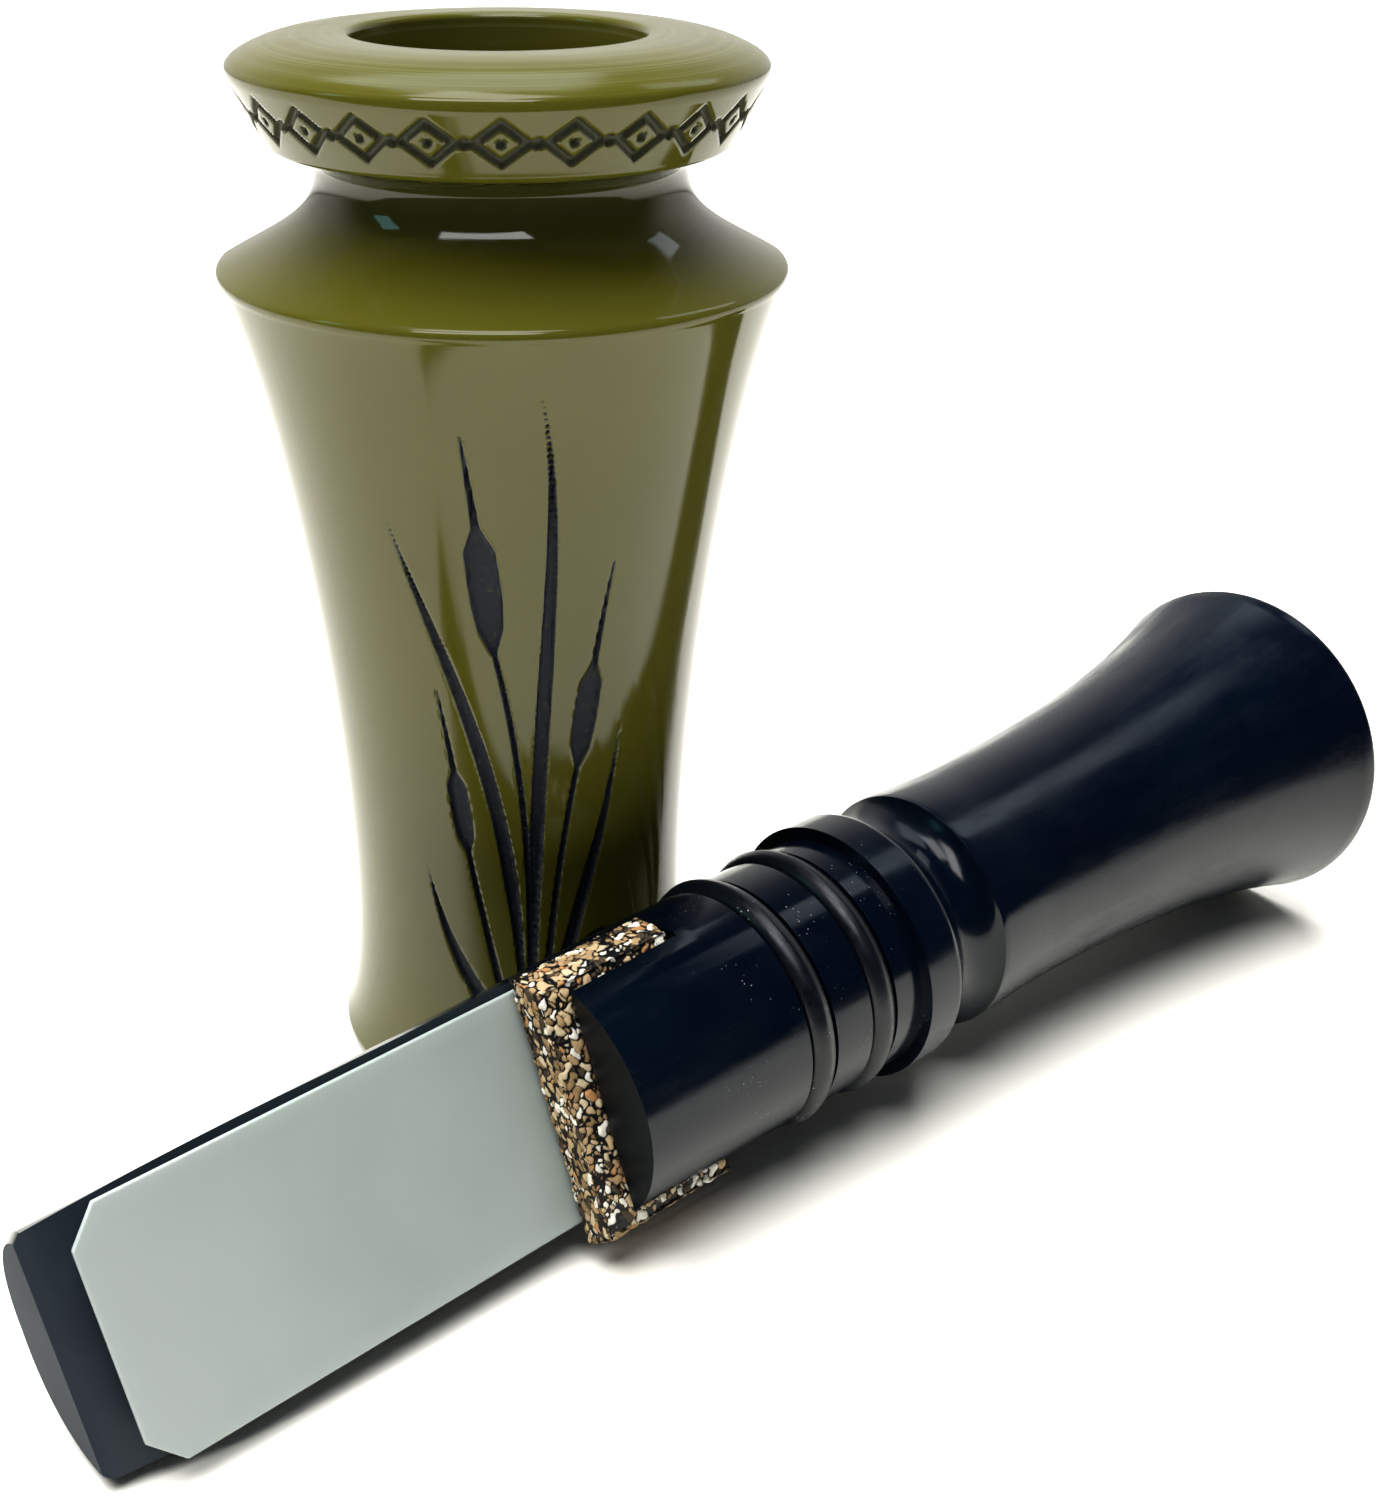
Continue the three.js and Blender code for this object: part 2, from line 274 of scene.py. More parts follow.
def cattail(motif, root, bend, neck, tip, head_length=7.5, head_half_width=0.95):
    """A stem, its thick seed head and the thin spike above it."""
    motif.stroke(root, bend, neck, widths=(0.34, 0.26, 0.2))
    direction = np.subtract(tip, neck) / np.linalg.norm(np.subtract(tip, neck))
    head_low = np.array(neck)
    head_high = head_low + direction * head_length
    motif.stroke(head_low, head_high, widths=(0.3, 0.85, 1, 1, 0.95, 0.3) * np.array(head_half_width))
    motif.stroke(head_high, tip, widths=(0.24, 0.08))


def marsh_motif():
    """Three cattails and long curved leaves, growing from low on the barrel's front."""
    motif = Motif()
    cattail(motif, (0.6, 4.5), (1.6, 20), (-1.2, 33), (-2.3, 46))
    cattail(motif, (1.5, 4.5), (2.6, 16), (4.3, 25), (6.0, 38), head_length=6.5, head_half_width=0.85)
    cattail(motif, (-0.4, 4.5), (-2.4, 12), (-3.6, 19), (-5.0, 30), head_length=5.5, head_half_width=0.75)
    leaf = (0.18, 0.55, 0.5, 0.32, 0.06)
    motif.stroke((0.2, 4.5), (0.3, 24), (-4.6, 31), (-7.0, 41), widths=leaf)
    motif.stroke((1.0, 4.5), (1.0, 26), (3.4, 38), (1.6, 48), widths=leaf)
    motif.stroke((2.0, 4.5), (4.2, 15), (6.6, 18), (7.4, 27), widths=leaf)
    motif.stroke((-0.8, 4.5), (-3.2, 9), (-5.6, 10.5), (-7.0, 17.5), widths=leaf)
    motif.stroke((1.8, 4.5), (3.4, 9.5), (5.6, 14), (8.0, 11.5), widths=leaf)
    return motif


# The motif is wrapped round a cylinder of this radius. The band's slant is its sloping length over
# its height. A cut reaches its full depth one wall's width inside its edge.
MOTIF_RADIUS = 13.0
BAND_REPEATS = 24
BAND_LOZENGE = (1.34, 1.12)
BAND_LINE = 0.26
BAND_DOT_R = 0.36
BAND_INNER_DOT_R = BAND_DOT_R * 0.8
BAND_SLANT = 1.12
ENGRAVING_DEPTH = 0.3
ENGRAVING_WALL = 0.16


def band_distance(angles, heights):
    """Distance to the band's pattern: open lozenges, with a small dot in each and one between each two."""
    middle = (BAND_LOW_Z + RING_Z) / 2
    radius = (BAND_LOW_R + RING_R) / 2
    pitch = TAU * radius / BAND_REPEATS
    place = (angles * radius / pitch + 0.5) % 1 - 0.5
    side, up = place * pitch, (heights - middle) * BAND_SLANT
    wide, high = BAND_LOZENGE
    slant = (np.abs(side) / wide + np.abs(up) / high - 1) * wide * high / math.hypot(wide, high)
    lozenge = np.abs(slant) - BAND_LINE
    dot_between = np.hypot(pitch / 2 - np.abs(side), up) - BAND_DOT_R
    dot_inside = np.hypot(side, up) - BAND_INNER_DOT_R
    return np.minimum(np.minimum(lozenge, dot_between), dot_inside)


# ---------------------------------------------------------------- barrel
FRONT_HALF_DEG, FRONT_STEP_DEG, SIDE_STEP_DEG = 36.0, 0.58, 3.6
BAND_COLUMNS = 660
BARREL_SHARP = math.radians(50)
MOTIF_LOW, MOTIF_HIGH = 3.0, FLARE_Z - 1
# The distance from the engraving that stands for any greater one, and for none at all.
NO_CUT = 1.0


def barrel_columns():
    """Angles round the barrel from its front: close together where the motif is cut."""
    side = np.arange(-180, -FRONT_HALF_DEG, SIDE_STEP_DEG)
    front = np.linspace(-FRONT_HALF_DEG, FRONT_HALF_DEG, round(2 * FRONT_HALF_DEG / FRONT_STEP_DEG) + 1)
    return np.radians(np.concatenate([side, front, -side[:0:-1]]))


def barrel_zones():
    """The barrel's outline in three runs: body, band and crown. Together they close on the bore."""
    body = Outline(BORE_R + EDGE_BREAK, 0)
    body.line(FOOT_R - FOOT_ROUND, 0)
    body.curve((FOOT_R, 0), (FOOT_R, FOOT_ROUND), step=0.25)
    body.curve((FOOT_R - 1, 3.2), (WAIST_R, WAIST_Z - 5), (WAIST_R, WAIST_Z), step=0.2)
    body.curve((WAIST_R, WAIST_Z + 13), (FLARE_R - 2.95, FLARE_Z - 7.2), (FLARE_R, FLARE_Z), step=0.15)
    body.curve((FLARE_R + 0.35, FLARE_Z + 0.55), (FLARE_R - 0.15, FLARE_Z + 0.8), step=0.08)
    body.curve((FLARE_R - 2.85, FLARE_Z + 2.25), (NECK_R, NECK_Z - 2.25), (NECK_R, NECK_Z), step=0.2)
    band = Outline(NECK_R, NECK_Z + 0.1)
    under_band = (BAND_LOW_R - 0.3, BAND_LOW_Z - 0.3)
    band.curve((NECK_R, NECK_Z + 1.0), (NECK_R + 0.9, NECK_Z + 1.3), under_band, step=0.3)
    band.curve((BAND_LOW_R - 0.1, BAND_LOW_Z - 0.26), (BAND_LOW_R, BAND_LOW_Z), step=0.1)
    band.curve((BAND_LOW_R + 0.75, BAND_LOW_Z + 1.4), (RING_R - 0.12, RING_Z - 0.25), step=0.13)
    band.curve((RING_R, RING_Z), (RING_R - 0.03, RING_Z + 0.28), step=0.1)
    band.curve((RING_R - 0.08, RING_Z + 0.5), (RING_R - 0.5, RING_Z + 0.78), step=0.12)
    crown = Outline(RING_R - 0.56, RING_Z + 0.82)
    crown.curve((RING_R - 1.8, RING_Z + 1.5), (RING_R - 3.2, BARREL_H), (RING_R - 5.0, BARREL_H), step=0.2)
    crown.line(BORE_R + EDGE_BREAK, BARREL_H, step=1.0)
    crown.curve((BORE_R + 0.05, BARREL_H - 0.05), (BORE_R, BARREL_H - EDGE_BREAK), step=0.12)
    crown.line(BORE_R, EDGE_BREAK, step=8.0)
    return body.points, band.points, crown.points


def ring(radius, height, angles):
    """A row of places round the barrel's axis, at angles from its front."""
    return np.stack([radius * np.sin(angles), -radius * np.cos(angles), np.full(len(angles), height)], 1)


def barrel(material):
    """The turned barrel, with the motif cut into its front and the pattern into its band."""
    columns = barrel_columns()
    band_columns = np.linspace(-math.pi, math.pi, BAND_COLUMNS, endpoint=False)
    zones = list(zip(barrel_zones(), (columns, band_columns, columns)))
    rings, angles, normals = [], [], []
    for points, zone_columns in zones:
        slopes = np.gradient(np.array(points), axis=0)
        for point, slope in zip(points, slopes):
            rings.append(point)
            angles.append(zone_columns)
            normals.append(np.array((slope[1], -slope[0])) / np.linalg.norm(slope))
    starts = np.cumsum([0] + [len(a) for a in angles])
    motif = marsh_motif()
    vertices, cut = [], []
    band_rows = range(len(zones[0][0]), len(zones[0][0]) + len(zones[1][0]))
    for i, (point, row_angles, normal) in enumerate(zip(rings, angles, normals)):
        distance = np.full(len(row_angles), NO_CUT)
        if i in band_rows and BAND_LOW_Z < point[1] < RING_Z:
            distance = band_distance(row_angles, np.full(len(row_angles), point[1]))
        elif i < band_rows[0] and MOTIF_LOW < point[1] < MOTIF_HIGH:
            near = np.abs(row_angles) < math.radians(FRONT_HALF_DEG)
            places = np.stack([row_angles[near] * MOTIF_RADIUS, np.full(near.sum(), point[1])], 1)
            distance[near] = motif.distance(places)
        depth = ENGRAVING_DEPTH * smooth_step(-distance, 0, ENGRAVING_WALL)
        vertices.append(ring(point[0] - normal[0] * depth, point[1] - normal[1] * depth, row_angles))
        cut.append(np.clip(distance, -NO_CUT, NO_CUT))
    faces = []
    for i in range(len(rings)):
        j = (i + 1) % len(rings)
        faces += bridge(int(starts[i]), angles[i], int(starts[j]), angles[j])
    obj = make_object("barrel_turned", np.concatenate(vertices), faces)
    store(obj, "engraved", np.concatenate(cut))
    obj.data.set_sharp_from_angle(angle=BARREL_SHARP)
    finish_piece(obj, Matrix.Translation(barrel_foot), "barrel_half", "barrel", "olive_acrylic", material)


# ---------------------------------------------------------------- insert
FACE_STRIP_DEG = (-7.5, 13.0)
SLOT_STRIP_DEG = (24.0, 33.0)
COLUMN_STEP_DEG = 2.5
ROUND_COLUMNS = 160
COLUMN_CHANGE_AT = SLOT_END + 0.8
BEVEL, BEVEL_SEGMENTS, BEVEL_FROM = 0.13, 3, math.radians(38)
INSERT_SHARP = math.radians(32)
# The tone board is slimmed towards its tip: shares of its width on the left and on the right, the
# length of the taper, and a share of its depth, which fades out towards the right.
TIP_SLIM_LEFT, TIP_SLIM_RIGHT, TIP_SLIM_L = 0.125, 0.06, 16.0
TIP_THIN = 0.2


def insert_columns():
    """Angles round the insert, with clear strips where the tone board's edges are cut."""
    gaps = [FACE_STRIP_DEG, SLOT_STRIP_DEG]
    gaps += [(180 - high, 180 - low) for low, high in gaps]

    def is_clear(angle):
        return not any(low < angle % 360 < high or low < angle < high for low, high in gaps)

    angles = [angle for angle in np.arange(-90, 270, COLUMN_STEP_DEG) if is_clear(angle)]
    return np.radians(sorted(set(angles) | {edge for gap in gaps for edge in gap}))


def insert_outline():
    """The insert's whole profile from the tip's middle, over the outside and back down the bore."""
    outline = Outline(0, 0)
    outline.line(TENON_R - TIP_ROUND, 0)
    outline.line(TENON_R, TIP_ROUND)
    # One row on each side of the place where the columns change.
    outline.line(TENON_R, SLOT_END + 0.6)
    outline.line(TENON_R, SLOT_END + 1.0)
    for at in ORING_AT:
        outline.line(TENON_R, at - GROOVE_HALF_W)
        outline.line(GROOVE_R, at - GROOVE_HALF_W)
        outline.line(GROOVE_R, at + GROOVE_HALF_W)
        outline.line(TENON_R, at + GROOVE_HALF_W)
    outline.line(TENON_R, COLLAR_FRONT)
    outline.line(COLLAR_R, COLLAR_FRONT)
    outline.line(COLLAR_R, COLLAR_FRONT + 2.4)
    outline.curve((COLLAR_R - 0.1, COLLAR_FRONT + 3.6), (COVE_R, COVE_AT - 1.8), (COVE_R, COVE_AT), step=0.35)
    outline.curve((COVE_R, COVE_AT + 1.4), (BEAD_R - 0.5, BEAD_AT - 0.4), (BEAD_R, BEAD_AT - 0.2), step=0.35)
    outline.line(BEAD_R, BEAD_AT + 0.3)
    outline.line(BELL_WAIST_R, BELL_WAIST_AT, step=1.5)
    outline.curve((BELL_WAIST_R, 78), (9.1, 88.5), (BELL_R, INSERT_L - RIM_ROUND), step=0.9)
    outline.curve((BELL_R, INSERT_L), (BELL_R - RIM_ROUND, INSERT_L), step=0.2)
    outline.line(MOUTH_R + 0.9, INSERT_L)
    outline.curve((MOUTH_R + 0.2, INSERT_L - 0.2), (MOUTH_R, INSERT_L - 0.8), step=0.3)
    outline.line(CHANNEL_R, CONE_START, step=4)
    outline.line(CHANNEL_R, CHANNEL_FULL)
    outline.curve((CHANNEL_R, CHANNEL_TIP + 3), (0, CHANNEL_TIP), step=0.8)
    return outline.points


def turned_about_x(name, points, columns):
    """A solid turned about X from a profile that starts on the axis or closes on itself.

    columns gives each profile point its angles, so a row can be finer than the next.
    """
    vertices, first = [], []
    for (radius, at), angles in zip(points, columns):
        first.append(len(vertices))
        if radius < TINY:
            vertices.append((at, 0, 0))
        else:
            vertices += [(at, radius * math.cos(a), radius * math.sin(a)) for a in angles]
    faces = []
    pairs = list(zip(range(len(points)), range(1, len(points))))
    if points[0][0] > TINY:
        pairs.append((len(points) - 1, 0))
    for i, j in pairs:
        if points[i][0] < TINY:
            n = len(columns[j])
            faces += [(first[i], first[j] + (k + 1) % n, first[j] + k) for k in range(n)]
        elif points[j][0] < TINY:
            n = len(columns[i])
            faces += [(first[i] + k, first[i] + (k + 1) % n, first[j]) for k in range(n)]
        else:
            faces += bridge(first[i], columns[i], first[j], columns[j])
    return make_object(name, vertices, faces)


def board_cutter():
    """What is cut away over the tone board: its face, the slot, and the room before the stopper."""
    past = 2.0
    high = half = TENON_R + past
    tip = face_height(0) - FACE_DROP
    side = Outline(SLOT_END, face_height(SLOT_END))
    side.line(SLOT_END, face_height(SLOT_END) + SLOT_H)
    side.line(STOPPER_FRONT, face_height(STOPPER_FRONT) + SLOT_H)
    side.line(STOPPER_FRONT, high)
    side.line(-past, high)
    side.line(-past, tip - 0.4)
    side.line(0, tip)
    middle = FACE_CURVE_START / 2
    side.curve((middle, face_height(middle)), (FACE_CURVE_START, face_height(FACE_CURVE_START)), step=1.4)
    n = len(side.points)
    vertices = [(x, y, z) for y in (-half, half) for x, z in side.points]
    faces = [tuple(range(n)), tuple(range(2 * n - 1, n - 1, -1))]
    faces += [((i + 1) % n, i, n + i, n + (i + 1) % n) for i in range(n)]
    return make_object("board_cutter", vertices, faces)


def insert_body(polished, sanded):
    """The turned insert with its tone board cut, polished outside and sanded on the cut faces."""
    board = insert_columns()
    even = np.linspace(-math.pi / 2, 1.5 * math.pi, ROUND_COLUMNS, endpoint=False)
    outline = insert_outline()
    columns = [board if at < COLUMN_CHANGE_AT or radius <= CHANNEL_R else even for radius, at in outline]
    obj = turned_about_x("insert_turned", outline, columns)
    cutter = board_cutter()
    for piece in (obj, cutter):
        piece.data.materials.append(polished)
        piece.data.materials.append(sanded)
        turn_faces_outward(piece.data)
    for polygon in cutter.data.polygons:
        polygon.material_index = 1
    for polygon in obj.data.polygons:
        polygon.material_index = int(polygon.center.x < TINY)
    cut = obj.modifiers.new("board", "BOOLEAN")
    cut.object = cutter
    cut.operation = "DIFFERENCE"
    cut.solver = "EXACT"
    apply_modifiers(obj)
    bpy.data.objects.remove(cutter)
    edges = obj.modifiers.new("edges", "BEVEL")
    edges.width = BEVEL * MM
    edges.segments = BEVEL_SEGMENTS
    edges.limit_method = "ANGLE"
    edges.angle_limit = BEVEL_FROM
    apply_modifiers(obj)
    obj.data.set_sharp_from_angle(angle=INSERT_SHARP)
    weighted = obj.modifiers.new("normals", "WEIGHTED_NORMAL")
    weighted.keep_sharp = True
    apply_modifiers(obj)
    tip_face = (face_height(0) - FACE_DROP) * MM
    for vertex in obj.data.vertices:
        near_tip = max(0, 1 - vertex.co.x / (TIP_SLIM_L * MM))
        slim = TIP_SLIM_LEFT if vertex.co.y > 0 else TIP_SLIM_RIGHT
        leftward = min(1, 1 + vertex.co.y / (TENON_R * MM))
        vertex.co.y *= 1 - slim * near_tip**2
        if vertex.co.z < tip_face:
            vertex.co.z -= (vertex.co.z - tip_face) * TIP_THIN * leftward * near_tip**2
    finish_piece(obj, insert_frame, "insert_half", "insert_body", "black_acrylic", polished, sanded)


ORING_SECTION_STEPS = 40
ORING_SLACK = 0.04
PARTING_H, PARTING_HALF_ANGLE = 0.035, 0.1


def oring(name, node, at, material):
    """A moulded ring with a fine parting line round its outside."""
    points = []
    for angle in np.linspace(0, TAU, ORING_SECTION_STEPS, endpoint=False):
        ridge = PARTING_H * math.exp(-((math.remainder(angle, TAU) / PARTING_HALF_ANGLE) ** 2))
        r = ORING_SECTION_R - ORING_SLACK + ridge
        points.append(np.array((ORING_MIDDLE_R + r * math.cos(angle), at + r * math.sin(angle))))
    columns = np.linspace(0, TAU, ROUND_COLUMNS, endpoint=False)
    obj = turned_about_x(name, points, [columns] * len(points))
    finish_piece(obj, insert_frame, "insert_half", node, "black_rubber", material)


# ---------------------------------------------------------------- reed
REED_EDGE = 0.1
REED_EDGE_STEPS, REED_CLIP_STEPS, REED_STEPS = 4, 8, 64
# Shares of the way across the reed, closer together by its edges.
REED_WAYS = (0, 0.01, 0.02, 0.04, 0.07, *np.linspace(0.1, 0.9, 17), 0.93, 0.96, 0.98, 0.99, 1)


def reed(material):
    """The film: a slim closed leaf with rounded edges and both front corners clipped."""
    half, thick = REED_W / 2, REED_T / 2
    tip, back = REED_TIP - CORK_FRONT, REED_BACK - CORK_FRONT
    turn = np.linspace(0, math.pi / 2, REED_EDGE_STEPS)
    clip_steps = np.linspace(0, REED_CLIP_ALONG, REED_CLIP_STEPS)[1:]
    middle = np.linspace(tip + REED_CLIP_ALONG, back, REED_STEPS)[1:-1]
    stations = np.concatenate([tip + REED_EDGE * (1 - np.cos(turn)), tip + clip_steps, middle])
    stations = np.concatenate([np.unique(stations), back - REED_EDGE * (1 - np.cos(turn[::-1]))])
    vertices, edge_gap, loops = [], [], []
    for x in stations:
        clip = REED_CLIP_ACROSS * max(0, 1 - (x - tip) / REED_CLIP_ALONG)
        wide = half - clip
        inset = REED_EDGE - min(x - tip, back - x, REED_EDGE)
        height = thick - REED_EDGE + math.sqrt(REED_EDGE**2 - inset**2)
        section = []
        for angle in turn[:-1]:
            y = wide - REED_EDGE * (1 - math.cos(angle))
            section.append((y, height - REED_EDGE + REED_EDGE * math.sin(angle)))
        flat = wide - REED_EDGE
        section += [(flat - 2 * flat * way, height) for way in REED_WAYS]
        section += [(-y, z) for y, z in section[: len(turn) - 1][::-1]]
        loop = section + [(y, -z) for y, z in section[::-1]]
        loops.append(len(vertices))
        for y, z in loop:
            vertices.append((x, y, z + GAP + REED_T / 2))
            slant = (half - REED_CLIP_ACROSS - abs(y)) * REED_CLIP_ALONG + (x - tip) * REED_CLIP_ACROSS
            corner = slant / math.hypot(REED_CLIP_ALONG, REED_CLIP_ACROSS)
            edge_gap.append(max(0, min(half - abs(y), x - tip, corner)))
    size = len(loop)
    faces = []
    for a, b in zip(loops, loops[1:]):
        faces += [(a + k, a + (k + 1) % size, b + (k + 1) % size, b + k) for k in range(size)]
    faces.append(tuple(range(loops[0] + size - 1, loops[0] - 1, -1)))
    faces.append(tuple(range(loops[-1], loops[-1] + size)))
    obj = make_object("reed_film", vertices, faces)
    turn_faces_outward(obj.data)
    store(obj, "edge_gap", edge_gap)
    finish_piece(obj, reed_frame, None, "reed", "frosted_film", material)
    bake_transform(obj)


# ---------------------------------------------------------------- cork wedge
# How far the block stands out of the stopper on its left and on its right.
PROUD_LEFT, PROUD_RIGHT = 0.45, 0.95
CORK_STEP = 0.085
# The granules fill a box with room round the block. The crowding makes up for their uneven places.
GRANULE = np.array((0.74, 0.76, 0.44))
GRANULE_SEED = 11
GRANULE_BOX_R = 8.35
GRANULE_BOX_ROOM = 1
GRANULE_CROWDING = 1.25
WOBBLE = 0.12
WOBBLE_WAVES = (7.3, 4.1)
# A granule rises out of the binder as the gap between its own and the next seed's distance grows.
SEAM = (0.08, 0.34)
BINDER_DEPTH = 0.15
GRANULE_RELIEF = 0.07
CRUMBLE, CRUMBLE_W = 0.16, 0.09


def cork_wedge(material):
    """A block of cork granules in rubber: each granule stands at its own height over the binder."""
    top, bottom = CORK_BOTTOM + CORK_T, CORK_BOTTOM
    width = 2 * math.sqrt(GRANULE_BOX_R**2 - bottom**2)
    counts = np.round(np.array((CORK_L, width, CORK_T)) / CORK_STEP).astype(int)
    tool = bmesh.new()
    bmesh.ops.create_cube(tool, size=2)
    for axis in range(3):
        cuts = [e for e in tool.edges if abs((e.verts[0].co - e.verts[1].co)[axis]) > TINY]
        bmesh.ops.subdivide_edges(tool, edges=cuts, cuts=int(counts[axis]) - 1, use_grid_fill=True)
    tool.normal_update()
    unit = np.array([v.co for v in tool.verts])
    outward = np.array([v.normal for v in tool.verts])
    tool.verts.index_update()
    faces = [[v.index for v in f.verts] for f in tool.faces]
    tool.free()
    x = (unit[:, 0] + 1) / 2 * CORK_L
    z = bottom + (unit[:, 2] + 1) / 2 * CORK_T
    proud = np.where(unit[:, 1] > 0, PROUD_LEFT, PROUD_RIGHT)
    y = unit[:, 1] * np.sqrt((TENON_R + proud) ** 2 - z**2)
    places = np.stack([x, y, z], 1)
    random = np.random.default_rng(GRANULE_SEED)
    low = np.array((0, -GRANULE_BOX_R, bottom)) - GRANULE_BOX_ROOM
    high = np.array((CORK_L, GRANULE_BOX_R, top)) + GRANULE_BOX_ROOM
    count = int(np.prod((high - low) / GRANULE) * GRANULE_CROWDING)
    seeds = random.uniform(low, high, (count, 3))
    shades = random.uniform(0, 1, count)
    heights = random.uniform(0, 1, count)
    tree = KDTree(count)
    for i, seed in enumerate(seeds / GRANULE):
        tree.insert(seed, i)
    tree.balance()
    seam, shade, height = np.zeros((3, len(places)))
    one_wave, other_wave = WOBBLE_WAVES
    wobble = WOBBLE * np.sin(places[:, [1, 2, 0]] * one_wave + places[:, [2, 0, 1]] * other_wave)
    for i, place in enumerate((places + wobble) / GRANULE):
        nearest, second = tree.find_n(place, 2)
        seam[i] = second[2] - nearest[2]
        shade[i] = shades[nearest[1]]
        height[i] = heights[nearest[1]]
    grain = smooth_step(seam, *SEAM)
    from_edge = np.sort(1 - np.abs(unit), axis=1)[:, 1]
    crumble = CRUMBLE * height * smooth_step(-from_edge, -CRUMBLE_W, 0)
    sink = BINDER_DEPTH * (1 - grain) + GRANULE_RELIEF * height * grain + crumble
    vertices = places - outward * sink[:, None]
    obj = make_object("cork_block_granules", vertices, faces)
    store(obj, "seam", seam)
    store(obj, "shade", shade)
    finish_piece(obj, reed_frame, "cork_block", "cork_wedge", "rubberised_cork", material)


# ---------------------------------------------------------------- materials
class Finish:
    """A procedural material: a Principled surface, and short ways to the nodes that feed it."""

    def __init__(self, name, **constants):
        self.material = bpy.data.materials.new(name)
        self.material.use_nodes = True
        self.tree = self.material.node_tree
        self.surface = self.tree.nodes["Principled BSDF"]
        for socket, value in constants.items():
            self.surface.inputs[socket.replace("_", " ").replace("Ior", "IOR")].default_value = value
        self.places = self.attribute("place", "Vector")

    def node(self, kind, settings=(), **inputs):
        """A new node; an input is named by its socket's name, or by _ and its number."""
        made = self.tree.nodes.new(kind)
        for key, value in dict(settings).items():
            setattr(made, key, value)
        for key, value in inputs.items():
            socket = made.inputs[int(key[1:])] if key[0] == "_" else made.inputs[key.replace("_", " ")]
            if isinstance(value, bpy.types.NodeSocket):
                self.tree.links.new(value, socket)
            else:
                socket.default_value = value
        return made

    def attribute(self, name, output="Fac"):
        """What a mesh keeps under this name."""
        return self.node("ShaderNodeAttribute", {"attribute_name": name}).outputs[output]

    def axis(self, name):
        """One coordinate of the place, in the piece's own millimetres."""
        return self.node("ShaderNodeSeparateXYZ", Vector=self.places).outputs[name]

    def scaled(self, factors):
        """The places, stretched along each axis."""
        return self.node("ShaderNodeMapping", Vector=self.places, Scale=factors).outputs["Vector"]

    def noise(self, scale, detail=3.0, roughness=0.5, places=None):
        """Fractal noise from 0 to 1."""
        sizes = {"Scale": scale, "Detail": detail, "Roughness": roughness}
        return self.node("ShaderNodeTexNoise", Vector=places or self.places, **sizes).outputs["Fac"]

    def spread(self, value, low, high, to_low=0.0, to_high=1.0, smooth=False):
        """Maps a value from one range to another and holds it there."""
        settings = {"interpolation_type": "SMOOTHSTEP"} if smooth else {}
        names = {"From Min": low, "From Max": high, "To Min": to_low, "To Max": to_high}
        made = self.node("ShaderNodeMapRange", settings, Value=value)
        for key, number in names.items():
            made.inputs[key].default_value = number
        return made.outputs["Result"]

    def blend(self, amount, first, second):
        """Two colours or sockets, mixed by amount."""
        made = self.node("ShaderNodeMix", {"data_type": "RGBA"})
        for index, value in ((0, amount), (6, first), (7, second)):
            if isinstance(value, bpy.types.NodeSocket):
                self.tree.links.new(value, made.inputs[index])
            else:
                made.inputs[index].default_value = (*value, 1) if index else value
        return made.outputs[2]

    def mixed(self, amount, first, second):
        """Two numbers mixed by amount."""
        return self.node("ShaderNodeMix", {"data_type": "FLOAT"}, _0=amount, _2=first, _3=second).outputs[0]

    def bands(self, value, stops):
        """One colour after another, each from its own stop on."""
        made = self.node("ShaderNodeValToRGB", Fac=value)
        made.color_ramp.interpolation = "CONSTANT"
        elements = made.color_ramp.elements
        while len(elements) < len(stops):
            elements.new(1)
        for element, (position, colour) in zip(elements, stops):
            element.position = position
            element.color = (*colour, 1)
        return made.outputs["Color"]

    def math(self, operation, first, second=0.0):
        """Arithmetic on one or two numbers."""
        return self.node("ShaderNodeMath", {"operation": operation}, _0=first, _1=second).outputs[0]

    def product(self, first, second):
        """Two numbers multiplied."""
        return self.math("MULTIPLY", first, second)

    def bump(self, height, strength, distance, normal=None):
        """One layer of relief; distance is in metres."""
        made = self.node("ShaderNodeBump", Height=height, Strength=strength, Distance=distance)
        if normal:
            self.tree.links.new(normal, made.inputs["Normal"])
        return made.outputs["Normal"]

    def feed(self, **sockets):
        """Links these sockets to the surface's inputs and gives back the material."""
        for name, value in sockets.items():
            self.tree.links.new(value, self.surface.inputs[name.replace("_", " ")])
        return self.material


OLIVE = (0.078, 0.075, 0.0095)
OLIVE_LIGHT = (0.092, 0.087, 0.012)
INK = (0.002, 0.006, 0.016)
BAND_INK = (0.036, 0.038, 0.016)
STREAK = (0.26, 0.25, 0.14)
# Painted shade: the colour the neck is darkened towards, under the overhanging band.
NECK_PAINTED_SHADE = (0.012, 0.016, 0.010)


